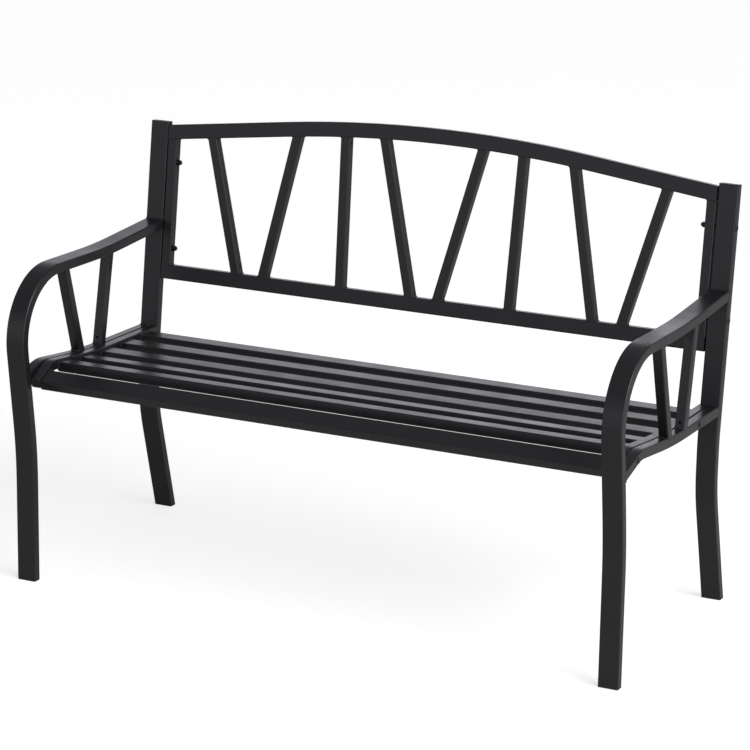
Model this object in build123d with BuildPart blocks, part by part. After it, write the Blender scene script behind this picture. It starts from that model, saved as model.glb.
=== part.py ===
"""Patio loveseat: a two-seat steel bench made of two side frames, a slatted seat and a strutted back."""
from build123d import *
import math
import os

os.makedirs("parts", exist_ok=True)

# Depths are measured back from the front face of the front foot, heights up from the floor.

# Overall width over the outer faces of the two side frames
overall_width = 1280

# Flat tube of the legs, arms and posts, laid with its wide face to the front
flat_tube_width = 40
flat_tube_thick = 20
flat_tube_corner = 3

# Square tube of the side rails, arm struts, seat end rails, back stiles and back struts
square_tube = 20
square_tube_corner = 2.5

# Every tube's wall
tube_wall = 1

# Front leg and arm, one bent flat tube: the corners of its centre line, and the radii that round them
leg_upright_height = 265
arm_corner_forward = 47
arm_corner_height = 620.5
arm_dip_depth = 295
arm_dip = 8.3
arm_rise = 12.6
leg_lean_radius = 900
arm_bend_radius = 128
arm_dip_radius = 1500

# Rear post and leg, one bent flat tube: splayed below, upright beside the seat, reclined above
post_middle_depth = 490.5
rear_foot_splay = 66.5
post_splay_height = 237
post_straight_length = 105
post_upper_length = 492.5
recline_angle = 6.84
post_splay_radius = 300
post_recline_radius = 400

# Plastic plugs in the feet and in the end rails' front ends, and caps on the posts
plug_height = 4
cap_height = 4
rail_plug_height = 2
stem_length = 16
stem_clearance = 0.2

# Line of the seat's top in side view: nearly flat at the rear, up to a crest, then down to the front.
# The end rails' crest lies a little behind the side rails', and they slope down more steeply.
seat_rear_height = 412.4
seat_dip_depth = 243
seat_dip_rise = 5.5
seat_rise_angle = 6.6
seat_dip_radius = 1400
side_rail_crest_depth = 75.5
side_rail_front_slope = 15.4
side_rail_crest_radius = 90
end_rail_crest_setback = 3.5
end_rail_front_slope = 25.5
end_rail_crest_radius = 45
end_rail_gap = 1.5
end_rail_post_gap = 1.5

# Arm struts: their centre lines where they meet the arm and the side rail
front_strut_top_depth = 164
front_strut_bottom_depth = 226
rear_strut_top_depth = 344
rear_strut_bottom_depth = 303

# Seat slats and front rail, all of the flat tube, laid between the end rails and a little below their tops
slat_count = 5
front_slat_setback = 38
rear_slat_setback = 48.5
slat_drop = 4.8
front_rail_setback = 22.5

# Back: a panel of rectangular tube between the posts, heights measured up the post from its recline bend
back_rail_height = 30
back_rail_corner = 2.5
panel_gap = 2
bottom_rail_level = 186
top_rail_end_level = 475
top_rail_slope = 6.79
top_rail_arch_radius = 2800

# Back struts, outermost pair first: shares of the clear half width at their feet and at their heads
strut_foot_shares = (0.735, 0.627, 0.322, 0.053)
strut_head_shares = (0.876, 0.517, 0.335, 0.186)
strut_head_level = 512

# Vent holes of the welded struts: each back strut's is a share of the way from its foot to its head
vent_diameter = 5
arm_vent_distance = 12.5
strut_vent_shares = (0.06, 0.025, 0.96, 0.025, 0.025, 0.025, 0.025, 0.025)

# Bolts, threaded inserts, washers and lock nuts
bolt_diameter = 6
bolt_clearance = 0.3
bolt_head_diameter = 11
bolt_head_height = 1.8
bolt_head_round = 1.2
bolt_end_chamfer = 0.8
socket_across = 4
socket_depth = 2
back_bolt_length = 72
seat_bolt_length = 35
insert_flange_diameter = 12
insert_diameter = 9
insert_bulge_diameter = 10
insert_bulge_height = 2.5
insert_length = 11
insert_clearance = 0.1
washer_diameter = 13
washer_thick = 1.6
nut_across = 10
nut_hex_height = 4.6
nut_collar_diameter = 9
nut_height = 6
thread_clearance = 0.1
back_bolt_shares = (0.17, 0.788)
seat_bolt_share = 0.65
front_seat_bolt_depth = 60
rear_seat_bolt_depth = 381

# Runs past a cut, and the steps in which a place on a bent line is searched for
overrun = 10
search_steps = 30

sides = {"left": -1, "right": 1}
half_width = overall_width / 2
half_thick = flat_tube_thick / 2
half_square = square_tube / 2
post_centre_x = half_width - flat_tube_width / 2
side_rail_x = half_width - half_square
end_rail_outer_x = half_width - square_tube - end_rail_gap
end_rail_x = end_rail_outer_x - half_square
slat_length = 2 * (end_rail_outer_x - square_tube)
panel_half_width = half_width - flat_tube_width - panel_gap
stile_x = panel_half_width - half_square
clear_half_width = panel_half_width - square_tube

recline = math.radians(recline_angle)
splay_slope = rear_foot_splay / post_splay_height
rear_foot_depth = post_middle_depth + rear_foot_splay
post_recline_height = post_splay_height + post_straight_length

# Corners of the leg's and arm's centre line in side view, as depth and height; it ends at the post's centre line
arm_dip_height = arm_corner_height - arm_dip
arm_rear_height = arm_dip_height + arm_rise
arm_rear_depth = post_middle_depth + (arm_rear_height - post_recline_height) * math.tan(recline)
leg_points = [
    (half_thick, -overrun),
    (half_thick, leg_upright_height),
    (half_thick - arm_corner_forward, arm_corner_height),
    (arm_dip_depth, arm_dip_height),
    (arm_rear_depth, arm_rear_height),
]
leg_radii = [leg_lean_radius, arm_bend_radius, arm_dip_radius]


def post_point(level):
    """Point on the post's centre line at a level above its recline bend."""
    return (post_middle_depth + level * math.sin(recline), post_recline_height + level * math.cos(recline))


post_points = [
    (rear_foot_depth + splay_slope * overrun, -overrun),
    (post_middle_depth, post_splay_height),
    (post_middle_depth, post_recline_height),
    post_point(post_upper_length),
]
post_radii = [post_splay_radius, post_recline_radius]

# The origin lies midway between the foremost point of the arm's bend and the back of the rear foot
with BuildLine() as leg_line:
    FilletPolyline(*leg_points, radius=leg_radii)
foremost_depth = leg_line.line.bounding_box().min.X - half_thick
rearmost_depth = rear_foot_depth + half_thick * math.hypot(1, splay_slope)
origin_depth = (foremost_depth + rearmost_depth) / 2


def side_plane(x):
    """Plane of a side view at a place across the bench: its axes are depth and height."""
    return Plane(origin=(x, -origin_depth, 0), x_dir=(0, 1, 0), z_dir=(1, 0, 0))


# Plane of the back panel's middle, with its axes across the bench and up along the posts
back_plane = Plane(
    origin=(0, post_middle_depth - origin_depth, post_recline_height),
    x_dir=(1, 0, 0),
    z_dir=(0, -math.cos(recline), math.sin(recline)),
)


def interpolate(points, depth):
    """Height of a line of straight runs at a depth."""
    places = sorted(points)
    for near, far in zip(places, places[1:]):
        if depth <= far[0]:
            break
    return near[1] + (far[1] - near[1]) * (depth - near[0]) / (far[0] - near[0])


def depth_at_height(line, height):
    """Depth at which the leg's bent line, followed up from the foot, passes a height."""
    low, high = 0, 1
    for _ in range(search_steps):
        middle = (low + high) / 2
        if (line @ middle).Y < height:
            low = middle
        else:
            high = middle
    return (line @ low).X


def parallel(points, distance):
    """Corners of the line that runs a distance below a line of straight runs, which goes forward."""
    runs = [(Vector(*after) - Vector(*before)).normalized() for before, after in zip(points, points[1:])]
    normals = [Vector(-run.Y, run.X) for run in runs]
    corners = []
    for point, before, after in zip(points, [normals[0]] + normals, normals + [normals[-1]]):
        middle = (before + after).normalized()
        place = Vector(*point) + middle * (distance / middle.dot(after))
        corners.append((place.X, place.Y))
    return corners


def bar(plane, points, radii, across, thick, corner=0):
    """Solid bar whose centre line lies in a plane; its section is so wide across that plane."""
    with BuildPart() as solid:
        with BuildLine(plane) as path:
            if radii:
                FilletPolyline(*points, radius=radii)
            else:
                Polyline(*points)
        with BuildSketch(Plane(origin=path.line @ 0, x_dir=plane.z_dir, z_dir=path.line % 0)):
            if corner:
                RectangleRounded(across, thick, corner)
            else:
                Rectangle(across, thick)
        sweep()
    return solid.part


def tube(plane, points, radii, across, thick, corner):
    """Tube along a centre line, open at both ends."""
    with BuildPart() as hollow:
        add(bar(plane, points, radii, across, thick, corner))
        add(bar(plane, points, radii, across - 2 * tube_wall, thick - 2 * tube_wall), mode=Mode.SUBTRACT)
    return hollow.part


def between_heights(solid, low, high):
    """The part of a solid that lies between two heights."""
    with BuildPart() as piece:
        add(solid)
        split(bisect_by=Plane.XY.offset(low), keep=Keep.TOP)
        split(bisect_by=Plane.XY.offset(high), keep=Keep.BOTTOM)
    return piece.part


def cross_tube(depth, height, tilt):
    """Flat tube across the seat between the end rails, centred at a depth and a height."""
    with BuildPart() as hollow:
        with BuildSketch(side_plane(-slat_length / 2)):
            with Locations((depth, height)):
                RectangleRounded(flat_tube_width, flat_tube_thick, flat_tube_corner, rotation=tilt)
                Rectangle(
                    flat_tube_width - 2 * tube_wall,
                    flat_tube_thick - 2 * tube_wall,
                    rotation=tilt,
                    mode=Mode.SUBTRACT,
                )
        extrude(amount=slat_length)
    return hollow.part


def facing(places, direction):
    """Planes at the places, facing along the bench to one side."""
    return [Plane(origin=place, x_dir=(0, 1, 0), z_dir=(direction, 0, 0)) for place in places]


def holes(planes, diameter, both=True):
    """Cutters for holes along the bench, from the middle of a tube out through one side or both."""
    with BuildPart() as cutters:
        for plane in planes:
            with BuildSketch(plane):
                Circle(diameter / 2)
            extrude(amount=flat_tube_width, both=both)
    return cutters.part


def write(part, name):
    """Label a finished piece and write its file."""
    part.label = name
    export_step(part, f"parts/{name}.step")


# The seat's top line in side view, from the rear post to the crests of the side rails and the end rails
seat_dip_height = seat_rear_height + seat_dip_rise
seat_rear_points = [(post_middle_depth + half_thick, seat_rear_height), (seat_dip_depth, seat_dip_height)]


def crest_point(depth):
    """Point at a depth on the line that rises from the dip to the crests."""
    return (depth, seat_dip_height + (seat_dip_depth - depth) * math.tan(math.radians(seat_rise_angle)))


def front_slope_point(crest, slope, distance):
    """Point on the slope that falls from a crest to the front, at a level distance before it."""
    return (crest[0] - distance, crest[1] - distance * math.tan(math.radians(slope)))


# The side rails run on into the front leg
side_rail_crest = crest_point(side_rail_crest_depth)
side_rail_front = front_slope_point(side_rail_crest, side_rail_front_slope, side_rail_crest_depth)
leg_depth_at_rail = depth_at_height(leg_line.line, side_rail_front[1] - half_square)
side_rail_end = front_slope_point(
    side_rail_crest, side_rail_front_slope, side_rail_crest_depth - leg_depth_at_rail
)
side_rail_points = parallel(seat_rear_points + [side_rail_crest, side_rail_end], half_square)
side_rail_radii = [seat_dip_radius, side_rail_crest_radius]

# The end rails and the plugs in their front ends stop flush with the front rail
end_rail_crest = crest_point(side_rail_crest_depth + end_rail_crest_setback)
end_rail_slope = math.radians(end_rail_front_slope)
end_rail_reach = front_rail_setback + flat_tube_width


def end_rail_point(reach):
    """Point on the end rails' centre line, at a distance down their front slope."""
    top = front_slope_point(end_rail_crest, end_rail_front_slope, reach * math.cos(end_rail_slope))
    return parallel([end_rail_crest, top], half_square)[1]


end_rail_end = front_slope_point(
    end_rail_crest, end_rail_front_slope, (end_rail_reach - rail_plug_height) * math.cos(end_rail_slope)
)
end_rail_points = parallel(seat_rear_points + [end_rail_crest, end_rail_end], half_square)
end_rail_radii = [seat_dip_radius, end_rail_crest_radius]
seat_top_points = seat_rear_points + [end_rail_crest]


def back_bolt_places(x):
    """Bolt places at a place across the bench, at shares of the way from the bottom rail to the top rail."""
    rise = top_rail_end_level - bottom_rail_level
    levels = [bottom_rail_level + share * rise for share in back_bolt_shares]
    return [tuple(back_plane.from_local_coords(Vector(x, level, 0))) for level in levels]


def seat_bolt_places(x):
    """Bolt places at the front and rear, a share of the way up from the end rail's middle to the side rail's."""
    places = []
    for depth in (front_seat_bolt_depth, rear_seat_bolt_depth):
        end_height = interpolate(end_rail_points, depth)
        height = end_height + seat_bolt_share * (interpolate(side_rail_points, depth) - end_height)
        places.append((x, depth - origin_depth, height))
    return places


bolt_hole = bolt_diameter + 2 * bolt_clearance
insert_hole = insert_diameter + 2 * insert_clearance
flat_section = (flat_tube_width, flat_tube_thick, flat_tube_corner)
square_section = (square_tube, square_tube, square_tube_corner)
back_rail_section = (flat_tube_thick, back_rail_height, back_rail_corner)
stem_section = [size - 2 * (tube_wall + stem_clearance) for size in flat_section[:2]]
rail_stem_section = [size - 2 * (tube_wall + stem_clearance) for size in square_section[:2]]
strut_depths = {
    "front": (front_strut_bottom_depth, front_strut_top_depth),
    "rear": (rear_strut_bottom_depth, rear_strut_top_depth),
}

# Side frames: leg and arm tubes, posts, side rails, arm struts, plugs and caps
for side, sign in sides.items():
    frame_plane = side_plane(sign * post_centre_x)
    rail_plane = side_plane(sign * side_rail_x)
    leg_sharp = bar(frame_plane, leg_points, leg_radii, *flat_section[:2])
    post_sharp = bar(frame_plane, post_points, post_radii, *flat_section[:2])
    rail_sharp = bar(rail_plane, side_rail_points, side_rail_radii, *square_section[:2])

    with BuildPart() as front_leg_arm:
        add(tube(frame_plane, leg_points, leg_radii, *flat_section))
        split(bisect_by=Plane.XY.offset(plug_height), keep=Keep.TOP)
        add(post_sharp, mode=Mode.SUBTRACT)
    write(front_leg_arm.part, f"front_leg_arm_{side}")

    with BuildPart() as rear_post:
        add(tube(frame_plane, post_points, post_radii, *flat_section))
        split(bisect_by=Plane.XY.offset(plug_height), keep=Keep.TOP)
        add(holes(facing(back_bolt_places(sign * post_centre_x), sign), bolt_hole), mode=Mode.SUBTRACT)
    write(rear_post.part, f"rear_post_{side}")

    with BuildPart() as side_rail:
        add(tube(rail_plane, side_rail_points, side_rail_radii, *square_section))
        add(leg_sharp, mode=Mode.SUBTRACT)
        add(post_sharp, mode=Mode.SUBTRACT)
        add(holes(facing(seat_bolt_places(sign * side_rail_x), sign), bolt_hole), mode=Mode.SUBTRACT)
    write(side_rail.part, f"side_rail_{side}")

    # Each arm strut runs from the side rail's centre line to the arm's, and is cut back to their faces
    for place, (bottom_depth, top_depth) in strut_depths.items():
        strut_foot = (bottom_depth, interpolate(side_rail_points, bottom_depth))
        strut_head = (top_depth, interpolate(leg_points[2:], top_depth))
        with BuildPart() as arm_strut:
            add(tube(rail_plane, [strut_foot, strut_head], None, *square_section))
            add(leg_sharp, mode=Mode.SUBTRACT)
            add(rail_sharp, mode=Mode.SUBTRACT)
            if place == "rear":
                vent_height = strut_foot[1] + half_square + arm_vent_distance
                with BuildSketch(Plane.XZ.offset(origin_depth - bottom_depth)):
                    with Locations((sign * side_rail_x, vent_height)):
                        Circle(vent_diameter / 2)
                extrude(amount=square_tube, mode=Mode.SUBTRACT)
        write(arm_strut.part, f"arm_strut_{place}_{side}")

    # A foot plug has a flange of the tube's own outline and a stem inside the tube
    for place, points, radii in (("front", leg_points, leg_radii), ("rear", post_points, post_radii)):
        flange = between_heights(bar(frame_plane, points, radii, *flat_section), 0, plug_height)
        stem_bar = bar(frame_plane, points, radii, *stem_section)
        with BuildPart() as foot_plug:
            add(flange)
            add(between_heights(stem_bar, plug_height, plug_height + stem_length))
        write(foot_plug.part, f"foot_plug_{place}_{side}")

    cap_flange = [post_point(post_upper_length), post_point(post_upper_length + cap_height)]
    cap_stem = [post_point(post_upper_length - stem_length), post_point(post_upper_length)]
    with BuildPart() as post_cap:
        add(bar(frame_plane, cap_flange, None, *flat_section))
        add(bar(frame_plane, cap_stem, None, *stem_section))
    write(post_cap.part, f"post_cap_{side}")

# Seat: end rails, slats and front rail, welded into one frame
for side, sign in sides.items():
    with BuildPart() as seat_end_rail:
        add(tube(side_plane(sign * end_rail_x), end_rail_points, end_rail_radii, *square_section))
        split(bisect_by=back_plane.offset(half_thick + end_rail_post_gap), keep=Keep.TOP)
        add(
            holes(facing(seat_bolt_places(sign * end_rail_x), sign), insert_hole, both=False),
            mode=Mode.SUBTRACT,
        )
    write(seat_end_rail.part, f"seat_end_rail_{side}")

    plug_end = end_rail_reach - rail_plug_height
    plug_flange = [end_rail_point(plug_end), end_rail_point(end_rail_reach)]
    plug_stem = [end_rail_point(plug_end - stem_length), end_rail_point(plug_end)]
    with BuildPart() as end_rail_plug:
        add(bar(side_plane(sign * end_rail_x), plug_flange, None, *square_section))
        add(bar(side_plane(sign * end_rail_x), plug_stem, None, *rail_stem_section))
    write(end_rail_plug.part, f"end_rail_plug_{side}")

front_slat_depth = end_rail_crest[0] + front_slat_setback
rear_slat_depth = post_middle_depth - rear_slat_setback
slat_pitch = (rear_slat_depth - front_slat_depth) / (slat_count - 1)
for number in range(slat_count):
    slat_depth = front_slat_depth + number * slat_pitch
    front_edge = interpolate(seat_top_points, slat_depth - flat_tube_width / 2)
    rear_edge = interpolate(seat_top_points, slat_depth + flat_tube_width / 2)
    slat_tilt = math.degrees(math.atan((rear_edge - front_edge) / flat_tube_width))
    slat_height = (front_edge + rear_edge) / 2 - slat_drop - half_thick
    with BuildPart() as seat_slat:
        add(cross_tube(slat_depth, slat_height, slat_tilt))
    write(seat_slat.part, f"seat_slat_{number + 1}")

# The front rail's wide face slopes as the end rails' fronts do, and lies as far below them as the slats
rail_reach = front_rail_setback + flat_tube_width / 2
rail_drop = slat_drop + half_thick
front_rail_depth = (
    end_rail_crest[0] - rail_reach * math.cos(end_rail_slope) + rail_drop * math.sin(end_rail_slope)
)
front_rail_height = (
    end_rail_crest[1] - rail_reach * math.sin(end_rail_slope) - rail_drop * math.cos(end_rail_slope)
)
with BuildPart() as seat_front_rail:
    add(cross_tube(front_rail_depth, front_rail_height, end_rail_front_slope))
write(seat_front_rail.part, "seat_front_rail")

# Back: an arched top rail, a straight bottom rail, two stiles and eight struts, welded into one frame
top_rail_rise = panel_half_width * math.tan(math.radians(top_rail_slope))
top_rail_fall = overrun * math.tan(math.radians(top_rail_slope))
top_rail_points = [
    (-panel_half_width - overrun, top_rail_end_level - top_rail_fall),
    (0, top_rail_end_level + top_rail_rise),
    (panel_half_width + overrun, top_rail_end_level - top_rail_fall),
]
bottom_rail_points = [(-panel_half_width, bottom_rail_level), (panel_half_width, bottom_rail_level)]
top_rail_sharp = bar(back_plane, top_rail_points, [top_rail_arch_radius], *back_rail_section[:2])
bottom_rail_sharp = bar(back_plane, bottom_rail_points, None, *back_rail_section[:2])
arch_half_span = top_rail_arch_radius * math.sin(math.radians(top_rail_slope))
arch_crown = (
    top_rail_end_level
    + top_rail_rise
    - top_rail_arch_radius * (1 / math.cos(math.radians(top_rail_slope)) - 1)
)


def top_rail_level(x):
    """Level of the top rail's centre line at a place across the bench."""
    if abs(x) > arch_half_span:
        return top_rail_end_level + (panel_half_width - abs(x)) * math.tan(math.radians(top_rail_slope))
    return arch_crown - top_rail_arch_radius + math.sqrt(top_rail_arch_radius**2 - x**2)


with BuildPart() as back_top_rail:
    add(tube(back_plane, top_rail_points, [top_rail_arch_radius], *back_rail_section))
    split(bisect_by=Plane.YZ.offset(-panel_half_width), keep=Keep.TOP)
    split(bisect_by=Plane.YZ.offset(panel_half_width), keep=Keep.BOTTOM)
write(back_top_rail.part, "back_top_rail")

with BuildPart() as back_bottom_rail:
    add(tube(back_plane, bottom_rail_points, None, *back_rail_section))
write(back_bottom_rail.part, "back_bottom_rail")

for side, sign in sides.items():
    stile_line = [(sign * stile_x, bottom_rail_level), (sign * stile_x, top_rail_level(stile_x))]
    with BuildPart() as back_stile:
        add(tube(back_plane, stile_line, None, *square_section))
        add(top_rail_sharp, mode=Mode.SUBTRACT)
        add(bottom_rail_sharp, mode=Mode.SUBTRACT)
        add(holes(facing(back_bolt_places(sign * stile_x), sign), bolt_hole), mode=Mode.SUBTRACT)
    write(back_stile.part, f"back_stile_{side}")

# Struts from left to right; each is cut back to the faces of the two rails
strut_foot_level = bottom_rail_level + back_rail_height / 2
strut_pairs = list(zip(strut_foot_shares, strut_head_shares))
strut_places = [(-foot, -head) for foot, head in strut_pairs] + strut_pairs[::-1]
for number, (foot_share, head_share) in enumerate(strut_places, start=1):
    vent_share = strut_vent_shares[number - 1]
    foot_x = foot_share * clear_half_width
    head_x = head_share * clear_half_width
    strut_lean = (head_x - foot_x) / (strut_head_level - strut_foot_level)
    start_x = foot_x - strut_lean * back_rail_height / 2
    end_level = top_rail_level(head_x)
    end_x = foot_x + strut_lean * (end_level - strut_foot_level)
    vent_level = strut_foot_level + vent_share * (end_level - back_rail_height / 2 - strut_foot_level)
    with BuildPart() as back_strut:
        add(tube(back_plane, [(start_x, bottom_rail_level), (end_x, end_level)], None, *square_section))
        add(top_rail_sharp, mode=Mode.SUBTRACT)
        add(bottom_rail_sharp, mode=Mode.SUBTRACT)
        vent_x = foot_x + strut_lean * (vent_level - strut_foot_level)
        vent_centre = back_plane.from_local_coords(Vector(vent_x, vent_level, 0))
        with BuildSketch(Plane(origin=vent_centre, x_dir=(0, 1, 0), z_dir=(1, 0, 0))):
            Circle(vent_diameter / 2)
        extrude(amount=square_tube, mode=Mode.SUBTRACT)
    write(back_strut.part, f"back_strut_{number}")


def low_head_bolt(length):
    """Bolt with a low round head that points down, with the underside of its head at the origin."""
    with BuildPart() as bolt:
        Cylinder(bolt_head_diameter / 2, bolt_head_height, align=(Align.CENTER, Align.CENTER, Align.MIN))
        fillet(bolt.edges().sort_by(Axis.Z)[-1], radius=bolt_head_round)
        Cylinder(bolt_diameter / 2, length, align=(Align.CENTER, Align.CENTER, Align.MAX))
        with BuildSketch(Plane.XY.offset(bolt_head_height)):
            RegularPolygon(radius=socket_across / 2, side_count=6, major_radius=False)
        extrude(amount=-socket_depth, mode=Mode.SUBTRACT)
        chamfer(bolt.edges().sort_by(Axis.Z)[0], length=bolt_end_chamfer)
    return bolt.part


def lock_nut():
    """Lock nut whose seat is at the origin and whose collar points up."""
    with BuildPart() as nut:
        with BuildSketch():
            RegularPolygon(radius=nut_across / 2, side_count=6, major_radius=False)
        extrude(amount=nut_hex_height)
        with BuildSketch(Plane.XY.offset(nut_hex_height)):
            Circle(nut_collar_diameter / 2)
        extrude(amount=nut_height - nut_hex_height)
        Cylinder(
            bolt_diameter / 2 + thread_clearance,
            nut_height,
            align=(Align.CENTER, Align.CENTER, Align.MIN),
            mode=Mode.SUBTRACT,
        )
    return nut.part


def plain_washer():
    """Washer whose seat is at the origin."""
    with BuildPart() as washer:
        with BuildSketch():
            Circle(washer_diameter / 2)
            Circle(bolt_diameter / 2 + bolt_clearance, mode=Mode.SUBTRACT)
        extrude(amount=washer_thick)
    return washer.part


def threaded_insert():
    """Insert whose flange stands up from the origin; a bulge behind the tube's wall holds it in."""
    body_align = (Align.CENTER, Align.CENTER, Align.MAX)
    with BuildPart() as insert:
        Cylinder(insert_flange_diameter / 2, end_rail_gap, align=(Align.CENTER, Align.CENTER, Align.MIN))
        Cylinder(insert_diameter / 2, insert_length, align=body_align)
        with Locations((0, 0, -tube_wall)):
            Cylinder(insert_bulge_diameter / 2, insert_bulge_height, align=body_align)
        with Locations((0, 0, end_rail_gap)):
            Cylinder(
                bolt_diameter / 2 + thread_clearance,
                insert_length + end_rail_gap,
                align=body_align,
                mode=Mode.SUBTRACT,
            )
    return insert.part


back_heads = []
seat_heads = []
insert_seats = []
washer_seats = []
nut_seats = []
for sign in sides.values():
    back_heads += facing(back_bolt_places(sign * half_width), sign)
    seat_heads += facing(seat_bolt_places(sign * half_width), sign)
    insert_seats += facing(seat_bolt_places(sign * end_rail_outer_x), sign)
    washer_seats += facing(back_bolt_places(sign * clear_half_width), -sign)
    nut_seats += facing(back_bolt_places(sign * (clear_half_width - washer_thick)), -sign)

with BuildPart() as back_bolts:
    with Locations(*back_heads):
        add(low_head_bolt(back_bolt_length))
write(back_bolts.part, "back_bolts")

with BuildPart() as seat_bolts:
    with Locations(*seat_heads):
        add(low_head_bolt(seat_bolt_length))
write(seat_bolts.part, "seat_bolts")

with BuildPart() as threaded_inserts:
    with Locations(*insert_seats):
        add(threaded_insert())
write(threaded_inserts.part, "threaded_inserts")

with BuildPart() as washers:
    with Locations(*washer_seats):
        add(plain_washer())
write(washers.part, "washers")

with BuildPart() as lock_nuts:
    with Locations(*nut_seats):
        add(lock_nut())
write(lock_nuts.part, "lock_nuts")
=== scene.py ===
import math
import random

import bmesh
import bpy
from mathutils import Matrix, Vector


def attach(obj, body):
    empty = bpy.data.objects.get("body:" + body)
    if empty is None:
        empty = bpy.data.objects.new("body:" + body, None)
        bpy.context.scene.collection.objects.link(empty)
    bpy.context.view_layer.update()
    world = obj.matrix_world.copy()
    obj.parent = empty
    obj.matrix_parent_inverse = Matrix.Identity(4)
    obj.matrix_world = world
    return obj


# Dresses the patio loveseat: its powder coat, plugs, bolts and weld beads, with the floor, light and camera.
# Lengths are in metres in the bench's own frame: +X to its right, +Y to its back, +Z up.
mm = 0.001

# Camera of the photograph: its place, the way it looks in degrees, and its lens and sensor in mm
camera_place = (2.5076, -5.1937, 2.0596)
camera_azimuth = 25.668
camera_elevation = 15.666
camera_roll = 0.911
camera_lens = 148.27
camera_sensor = 36

# Colours, as sRGB hex
powder_black = "151517"
powder_black_thin = "1C1C1F"
plastic_black = "141415"
plastic_black_scuffed = "1F1F20"
zinc_black = "303032"
zinc_black_worn = "545456"
floor_grey = "C9C9C8"
studio_white = "F8F7FF"
camera_white = (1.0, 1.0, 1.0, 1.0)

# Values of a noise between which most of it lies, and over which a roughness runs its full course
noise_low = 0.3
noise_high = 0.7

# Powder coat. Orange peel is about 2 mm from dimple to dimple; the sprayed film's grain is finer, and its
# colour and gloss drift slowly along the tubes
peel_size = 2.2 * mm
peel_detail = 2.0
peel_strength = 0.3
peel_depth = 0.06 * mm
coat_grain_size = 0.6 * mm
coat_grain_detail = 1.0
coat_grain_strength = 0.2
coat_grain_depth = 0.02 * mm
coat_drift_size = 60 * mm
coat_drift_detail = 3.0
coat_roughness = (0.31, 0.38)
coat_ior = 1.5

# Moulded plastic: the mould's grain, and the scuffs that cover a few millimetres each
mould_grain_size = 0.8 * mm
mould_grain_detail = 2.0
mould_grain_strength = 0.35
mould_grain_depth = 0.05 * mm
scuff_size = 7 * mm
scuff_detail = 4.0
plastic_roughness = (0.48, 0.6)
plastic_ior = 1.51

# Zinc plating: its mottle, bare metal all over
mottle_size = 1.5 * mm
mottle_detail = 3.0
zinc_roughness = (0.28, 0.42)

# Weld beads: a bead's radius, its ripple and unevenness, the step between its points, and how round it is
bead_radius = 1.6 * mm
bead_ripple_share = 0.16
bead_uneven_share = 0.06
bead_pitch = 3.6 * mm
bead_step = 1.2 * mm
bead_roundness = 2
bead_seed = 3
# Where a weld is ground flush, it is smooth, and fills the notch at the neighbour's rounded edge: it lies
# that far on and that far below the surface
flush_radius = 1.65 * mm
flush_onward = 0.9 * mm
flush_depth = 1.35 * mm
# The slats' lower edges hang this far below the end rails' undersides, where there is nothing to weld to
slat_hang = 4.8 * mm
# A tube's end reaches back this far, points are one within this gap, and a face looks a way above this share
end_reach = 12 * mm
same_point_gap = 0.01 * mm
facing_share = 0.75
slat_count = 5
strut_count = 8
# How far the posts and the back lean, in degrees
recline_angle = 6.84

# How far the floor reaches, and how much white the camera sees added to it, so that just its shadow is left
floor_half_size = 16
floor_lift = 0.66

# Light of the dim room, of its walls low in front, and of the bright backdrop low behind to the left
room_light = 0.25
wall_light = 0.5
backdrop_light = 1.4
# Soft edges of that light, as parts of the direction's X, Y or Z: where it is full, and where it is gone
backdrop_front_edge = (0.6, 0.1)
backdrop_right_edge = (0.05, 0.3)
backdrop_left_edge = (-0.3, -0.8)
wall_rear_edge = (-0.5, 0.0)
upper_edge = (0.3, 0.46)

# Lamps, all turned to one place on the bench: kind, place, and energy in W, or in W per square metre for the
# sun-like one. This large far softbox lights the floor evenly; two nearer ones light the right-hand side
lamp_target = (0, 0, 0.4)
lamps = {
    "far_softbox": ("SUN", (3.2, -1.6, 3.2), {"energy": 1.3, "angle": math.radians(35)}),
    "near_softbox": ("AREA", (3.2, -0.4, 3.0), {"energy": 55, "shape": "SQUARE", "size": 2.2}),
    "edge_softbox": ("AREA", (3.6, -1.8, 0.6), {"energy": 16, "shape": "SQUARE", "size": 1.2}),
}

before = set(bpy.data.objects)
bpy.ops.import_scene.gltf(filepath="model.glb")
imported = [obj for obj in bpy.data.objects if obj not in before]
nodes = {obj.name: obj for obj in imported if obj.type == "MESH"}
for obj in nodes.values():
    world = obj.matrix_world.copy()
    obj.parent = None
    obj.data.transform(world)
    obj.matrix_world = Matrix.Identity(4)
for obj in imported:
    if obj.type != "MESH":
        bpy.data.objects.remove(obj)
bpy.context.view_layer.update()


def linear(hex_colour):
    """Linear colour with alpha, from sRGB hex, by the sRGB standard's own curve."""
    shares = [int(hex_colour[place : place + 2], 16) / 255 for place in (0, 2, 4)]
    return tuple(s / 12.92 if s <= 0.04045 else ((s + 0.055) / 1.055) ** 2.4 for s in shares) + (1.0,)


def put_in_scene(thing):
    """Links an object to the scene."""
    bpy.context.scene.collection.objects.link(thing)


def add_node(tree, kind, settings=None, links=None):
    """Adds a node; settings name its properties or input sockets, links name sockets and what feeds them."""
    made = tree.nodes.new(kind)
    settings = dict(settings or {})
    if "data_type" in settings:
        made.data_type = settings.pop("data_type")
    for name, value in settings.items():
        if isinstance(name, int) or name in made.inputs:
            made.inputs[name].default_value = value
        else:
            setattr(made, name, value)
    for name, source in (links or {}).items():
        tree.links.new(source, made.inputs[name])
    return made


def new_material(name):
    """Empty node material and its tree."""
    material = bpy.data.materials.new(name)
    material.use_nodes = True
    material.node_tree.nodes.clear()
    return material, material.node_tree


def add_noise(tree, size, detail):
    """Noise whose features have a real size, fixed to the bench."""
    place = add_node(tree, "ShaderNodeTexCoord").outputs["Object"]
    settings = {"Scale": 1 / size, "Detail": detail}
    return add_node(tree, "ShaderNodeTexNoise", settings, {"Vector": place}).outputs["Fac"]


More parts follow.
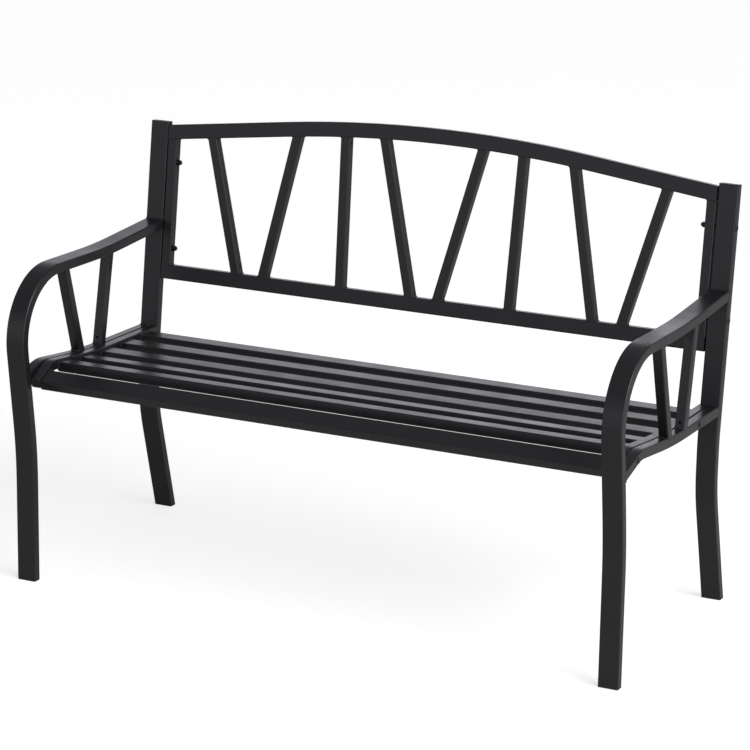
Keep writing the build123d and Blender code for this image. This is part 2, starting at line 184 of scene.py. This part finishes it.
def add_colour(tree, noise, first, second):
    """Colour that wanders between two with a noise."""
    settings = {"data_type": "RGBA", 6: linear(first), 7: linear(second)}
    return add_node(tree, "ShaderNodeMix", settings, {0: noise}).outputs[2]


def add_roughness(tree, noise, limits):
    """Roughness that wanders between two limits with a noise."""
    settings = {"From Min": noise_low, "From Max": noise_high, "To Min": limits[0], "To Max": limits[1]}
    return add_node(tree, "ShaderNodeMapRange", settings, {"Value": noise}).outputs["Result"]


def add_bump(tree, noise, strength, depth, under=None):
    """Relief of a noise, laid over another relief where one is given."""
    links = {"Height": noise}
    if under is not None:
        links["Normal"] = under
    settings = {"Strength": strength, "Distance": depth}
    return add_node(tree, "ShaderNodeBump", settings, links).outputs["Normal"]


def add_surface(tree, settings, links):
    """Principled surface, joined to the material's output."""
    shader = add_node(tree, "ShaderNodeBsdfPrincipled", settings, links)
    add_node(tree, "ShaderNodeOutputMaterial", links={"Surface": shader.outputs["BSDF"]})


def powder_coat():
    """Satin black powder coat on steel: deep black, with a fine orange peel that softens its gloss."""
    material, tree = new_material("satin_black_powder_coat")
    peel = add_noise(tree, peel_size, peel_detail)
    grain = add_noise(tree, coat_grain_size, coat_grain_detail)
    drift = add_noise(tree, coat_drift_size, coat_drift_detail)
    peel_relief = add_bump(tree, peel, peel_strength, peel_depth)
    surface = {
        "Base Color": add_colour(tree, drift, powder_black, powder_black_thin),
        "Roughness": add_roughness(tree, drift, coat_roughness),
        "Normal": add_bump(tree, grain, coat_grain_strength, coat_grain_depth, peel_relief),
    }
    add_surface(tree, {"IOR": coat_ior}, surface)
    return material


def moulded_plastic():
    """Black polyethylene of the plugs and caps: matt from the mould's spark-eroded grain, a touch scuffed."""
    material, tree = new_material("moulded_black_polyethylene")
    grain = add_noise(tree, mould_grain_size, mould_grain_detail)
    scuff = add_noise(tree, scuff_size, scuff_detail)
    surface = {
        "Base Color": add_colour(tree, scuff, plastic_black, plastic_black_scuffed),
        "Roughness": add_roughness(tree, scuff, plastic_roughness),
        "Normal": add_bump(tree, grain, mould_grain_strength, mould_grain_depth),
    }
    add_surface(tree, {"IOR": plastic_ior}, surface)
    return material


def black_zinc():
    """Black zinc-plated steel of bolts, nuts, washers and inserts: dark metal with a mottled satin shine."""
    material, tree = new_material("black_zinc_plated_steel")
    mottle = add_noise(tree, mottle_size, mottle_detail)
    surface = {
        "Base Color": add_colour(tree, mottle, zinc_black, zinc_black_worn),
        "Roughness": add_roughness(tree, mottle, zinc_roughness),
    }
    add_surface(tree, {"Metallic": 1.0}, surface)
    return material


coat = powder_coat()
plastic = moulded_plastic()
zinc = black_zinc()
fasteners = ("back_bolts", "seat_bolts", "washers", "lock_nuts", "threaded_inserts")
for name, made in nodes.items():
    if name in fasteners:
        finish = zinc
    elif name.startswith(("foot_plug", "end_rail_plug", "post_cap")):
        finish = plastic
    else:
        finish = coat
    for material_slot in made.material_slots:
        material_slot.material = finish


def chain_length(chain):
    """Length round a closed outline."""
    return sum((after[0] - before[0]).length for before, after in zip(chain, chain[1:] + chain[:1]))


def end_outline(node, direction):
    """Outline of a tube's welded end: its points, and how the tube's side faces there."""
    shape = bmesh.new()
    shape.from_mesh(nodes[node].data)
    bmesh.ops.remove_doubles(shape, verts=shape.verts, dist=same_point_gap)
    shape.normal_update()
    limit = max(vertex.co.dot(direction) for vertex in shape.verts) - end_reach
    shape.faces.index_update()
    ends = [
        face
        for face in shape.faces
        if face.normal.dot(direction) > facing_share and face.calc_center_median().dot(direction) > limit
    ]
    # The faces are looked through in their own order, so that every run starts an outline at the same point
    end_numbers = {face.index for face in ends}
    rim = {}
    for face in ends:
        for edge in face.edges:
            sides = [other for other in edge.link_faces if other.index not in end_numbers]
            if sides:
                rim[edge] = sides[0].normal.copy()
    # A tube's end has an outer and an inner outline; the outer one is the longer
    best = []
    while rim:
        edge = next(iter(rim))
        first = edge.verts[0]
        corner = edge.verts[1]
        chain = [(first.co.copy(), rim.pop(edge))]
        while corner is not first:
            onward = [other for other in corner.link_edges if other in rim]
            if not onward:
                break
            chain.append((corner.co.copy(), rim.pop(onward[0])))
            corner = onward[0].other_vert(corner)
        if corner is first and chain_length(chain) > chain_length(best):
            best = chain
    shape.free()
    return best


def bead_spots(chain, direction, flush, rolled):
    """Points and radii of a bead round an outline, ground flush where the side looks along a flush way."""
    spots = []
    travelled = 0.0
    for (start, side), (stop, _) in zip(chain, chain[1:] + chain[:1]):
        length = (stop - start).length
        steps = max(1, round(length / bead_step))
        ground = any(side.dot(way) > facing_share for way in flush)
        for step in range(steps):
            along = travelled + length * step / steps
            uneven = rolled.uniform(-bead_uneven_share, bead_uneven_share)
            swell = 1 + bead_ripple_share * math.sin(math.tau * along / bead_pitch) + uneven
            spot = start.lerp(stop, step / steps)
            if ground:
                spots.append((spot + direction * flush_onward - side * flush_depth, flush_radius))
            else:
                spots.append((spot, bead_radius * swell))
        travelled += length
    return spots


def above_the_hang(spots, chain, hang):
    """Those points of a slat's bead that lie higher than its neighbour's underside, in one row."""
    top_side = max((side for _, side in chain), key=lambda side: side.z)
    limit = min(point.dot(top_side) for point, _ in chain) + hang
    welded = [spot.dot(top_side) > limit for spot, _ in spots]
    first = next(place for place in range(len(spots)) if welded[place] and not welded[place - 1])
    onward = spots[first:] + spots[:first]
    return [(spot, radius) for spot, radius in onward if spot.dot(top_side) > limit]


def lay_bead(curve, spots, closed):
    """Adds one bead through its points."""
    spline = curve.splines.new("POLY")
    spline.points.add(len(spots) - 1)
    for point, (spot, radius) in zip(spline.points, spots):
        point.co = (*spot, 1.0)
        point.radius = radius / bead_radius
    spline.use_cyclic_u = closed


def make_welds(name, joints, hang=0.0):
    """Coated weld beads of one frame: each joint is a node, the way its welded end looks, and its flush ways.

    Tubes that hang below their neighbours have their beads end at the neighbours' undersides.
    """
    curve = bpy.data.curves.new(name, "CURVE")
    curve.dimensions = "3D"
    curve.bevel_depth = bead_radius
    curve.bevel_resolution = bead_roundness
    curve.use_fill_caps = True
    rolled = random.Random(bead_seed)
    for node, direction, flush in joints:
        chain = end_outline(node, direction)
        spots = bead_spots(chain, direction, flush, rolled)
        if hang:
            spots = above_the_hang(spots, chain, hang)
        lay_bead(curve, spots, not hang)
    drawn = bpy.data.objects.new(name + "_line", curve)
    put_in_scene(drawn)
    bpy.context.view_layer.update()
    mesh = bpy.data.meshes.new_from_object(drawn.evaluated_get(bpy.context.evaluated_depsgraph_get()))
    bpy.data.objects.remove(drawn)
    mesh.name = name
    mesh.materials.clear()
    mesh.materials.append(coat)
    mesh.shade_smooth()
    beads = bpy.data.objects.new(name, mesh)
    put_in_scene(beads)
    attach(beads, "root")


across = Vector((1, 0, 0))
rearward = Vector((0, 1, 0))
upright = Vector((0, 0, 1))
recline = math.radians(recline_angle)
up_the_back = Vector((0, math.sin(recline), math.cos(recline)))
out_of_the_back = Vector((0, -math.cos(recline), math.sin(recline)))

seat_joints = []
for number in range(1, slat_count + 1):
    seat_joints += [(f"seat_slat_{number}", across, ()), (f"seat_slat_{number}", -across, ())]
both_faces = (out_of_the_back, -out_of_the_back)
back_joints = []
for number in range(1, strut_count + 1):
    for way in (up_the_back, -up_the_back):
        back_joints.append((f"back_strut_{number}", way, both_faces))
side_joints = []
for side, outward in (("left", -across), ("right", across)):
    for way in (up_the_back, -up_the_back):
        back_joints.append((f"back_stile_{side}", way, both_faces + (outward,)))
    for place in ("front", "rear"):
        strut = f"arm_strut_{place}_{side}"
        side_joints += [(strut, upright, (outward,)), (strut, -upright, (across, -across))]
    side_joints += [
        (f"side_rail_{side}", rearward, (outward,)),
        (f"side_rail_{side}", -rearward, (outward,)),
        (f"front_leg_arm_{side}", rearward, (across, -across)),
    ]
make_welds("seat_frame_welds", seat_joints, slat_hang)
make_welds("back_frame_welds", back_joints)
make_welds("side_frame_welds", side_joints)


def make_floor():
    """Wide pale floor that the camera sees lifted to white, and that keeps the bench's soft shadow."""
    mesh = bpy.data.meshes.new("floor")
    shape = bmesh.new()
    bmesh.ops.create_grid(shape, x_segments=1, y_segments=1, size=floor_half_size)
    shape.to_mesh(mesh)
    shape.free()
    floor = bpy.data.objects.new("floor", mesh)
    put_in_scene(floor)
    material, tree = new_material("pale_floor")
    lit = add_node(tree, "ShaderNodeBsdfDiffuse", {"Color": linear(floor_grey)})
    seen = add_node(tree, "ShaderNodeLightPath").outputs["Is Camera Ray"]
    lift = add_node(tree, "ShaderNodeMath", {"operation": "MULTIPLY", 1: floor_lift}, {0: seen})
    glow = add_node(tree, "ShaderNodeEmission", {"Color": camera_white}, {"Strength": lift.outputs["Value"]})
    both = add_node(tree, "ShaderNodeAddShader", links={0: lit.outputs["BSDF"], 1: glow.outputs["Emission"]})
    add_node(tree, "ShaderNodeOutputMaterial", links={"Surface": both.outputs["Shader"]})
    mesh.materials.append(material)


def make_world():
    """White surroundings for the camera; for the bench a bright backdrop behind and a dimmer room around."""
    world = bpy.data.worlds.new("studio")
    bpy.context.scene.world = world
    world.use_nodes = True
    tree = world.node_tree
    tree.nodes.clear()
    place = add_node(tree, "ShaderNodeTexCoord").outputs["Generated"]
    apart = add_node(tree, "ShaderNodeSeparateXYZ", links={"Vector": place})

    def falling(axis, edge, strength=1.0):
        """Share of the light along an axis: full on one side of a soft edge, none on the other."""
        full, none = edge
        soft = {"interpolation_type": "SMOOTHSTEP", "From Min": none, "From Max": full, "To Max": strength}
        return add_node(tree, "ShaderNodeMapRange", soft, {"Value": apart.outputs[axis]}).outputs["Result"]

    def combined(operation, first, second):
        """Two values put together."""
        both = add_node(tree, "ShaderNodeMath", {"operation": operation}, {0: first, 1: second})
        return both.outputs["Value"]

    def product(first, second):
        """Product of two values."""
        return combined("MULTIPLY", first, second)

    backdrop = falling("Y", backdrop_front_edge, backdrop_light)
    backdrop = product(backdrop, falling("X", backdrop_right_edge))
    backdrop = product(backdrop, falling("X", backdrop_left_edge))
    wall = falling("Y", wall_rear_edge, wall_light)
    lowered = product(combined("ADD", backdrop, wall), falling("Z", upper_edge))
    room = add_node(tree, "ShaderNodeMath", {"operation": "ADD", 1: room_light}, {0: lowered})
    seen = add_node(tree, "ShaderNodeLightPath").outputs["Is Camera Ray"]
    strength = {"Strength": room.outputs["Value"]}
    lit = add_node(tree, "ShaderNodeBackground", {"Color": linear(studio_white)}, strength)
    shown = add_node(tree, "ShaderNodeBackground", {"Color": camera_white, "Strength": 1.0})
    mixed = add_node(
        tree,
        "ShaderNodeMixShader",
        links={0: seen, 1: lit.outputs["Background"], 2: shown.outputs["Background"]},
    )
    add_node(tree, "ShaderNodeOutputWorld", links={"Surface": mixed.outputs["Shader"]})


def make_lamp(name, kind, place, settings):
    """Studio lamp that faces the middle of the bench."""
    lamp = bpy.data.lights.new(name, kind)
    for setting, value in settings.items():
        setattr(lamp, setting, value)
    stand = bpy.data.objects.new(name, lamp)
    stand.location = place
    stand.rotation_euler = (Vector(lamp_target) - Vector(place)).to_track_quat("-Z", "Y").to_euler()
    put_in_scene(stand)


def make_camera():
    """Camera that sees the bench as the photograph does."""
    data = bpy.data.cameras.new("photo_camera")
    data.lens = camera_lens
    data.sensor_width = camera_sensor
    data.sensor_fit = "HORIZONTAL"
    camera = bpy.data.objects.new("photo_camera", data)
    camera.matrix_world = (
        Matrix.Translation(camera_place)
        @ Matrix.Rotation(math.radians(camera_azimuth), 4, "Z")
        @ Matrix.Rotation(math.radians(90 - camera_elevation), 4, "X")
        @ Matrix.Rotation(math.radians(camera_roll), 4, "Z")
    )
    put_in_scene(camera)
    bpy.context.scene.camera = camera


make_floor()
make_world()
for name, (kind, place, settings) in lamps.items():
    make_lamp(name, kind, place, settings)
make_camera()
bpy.context.scene.view_settings.view_transform = "Standard"
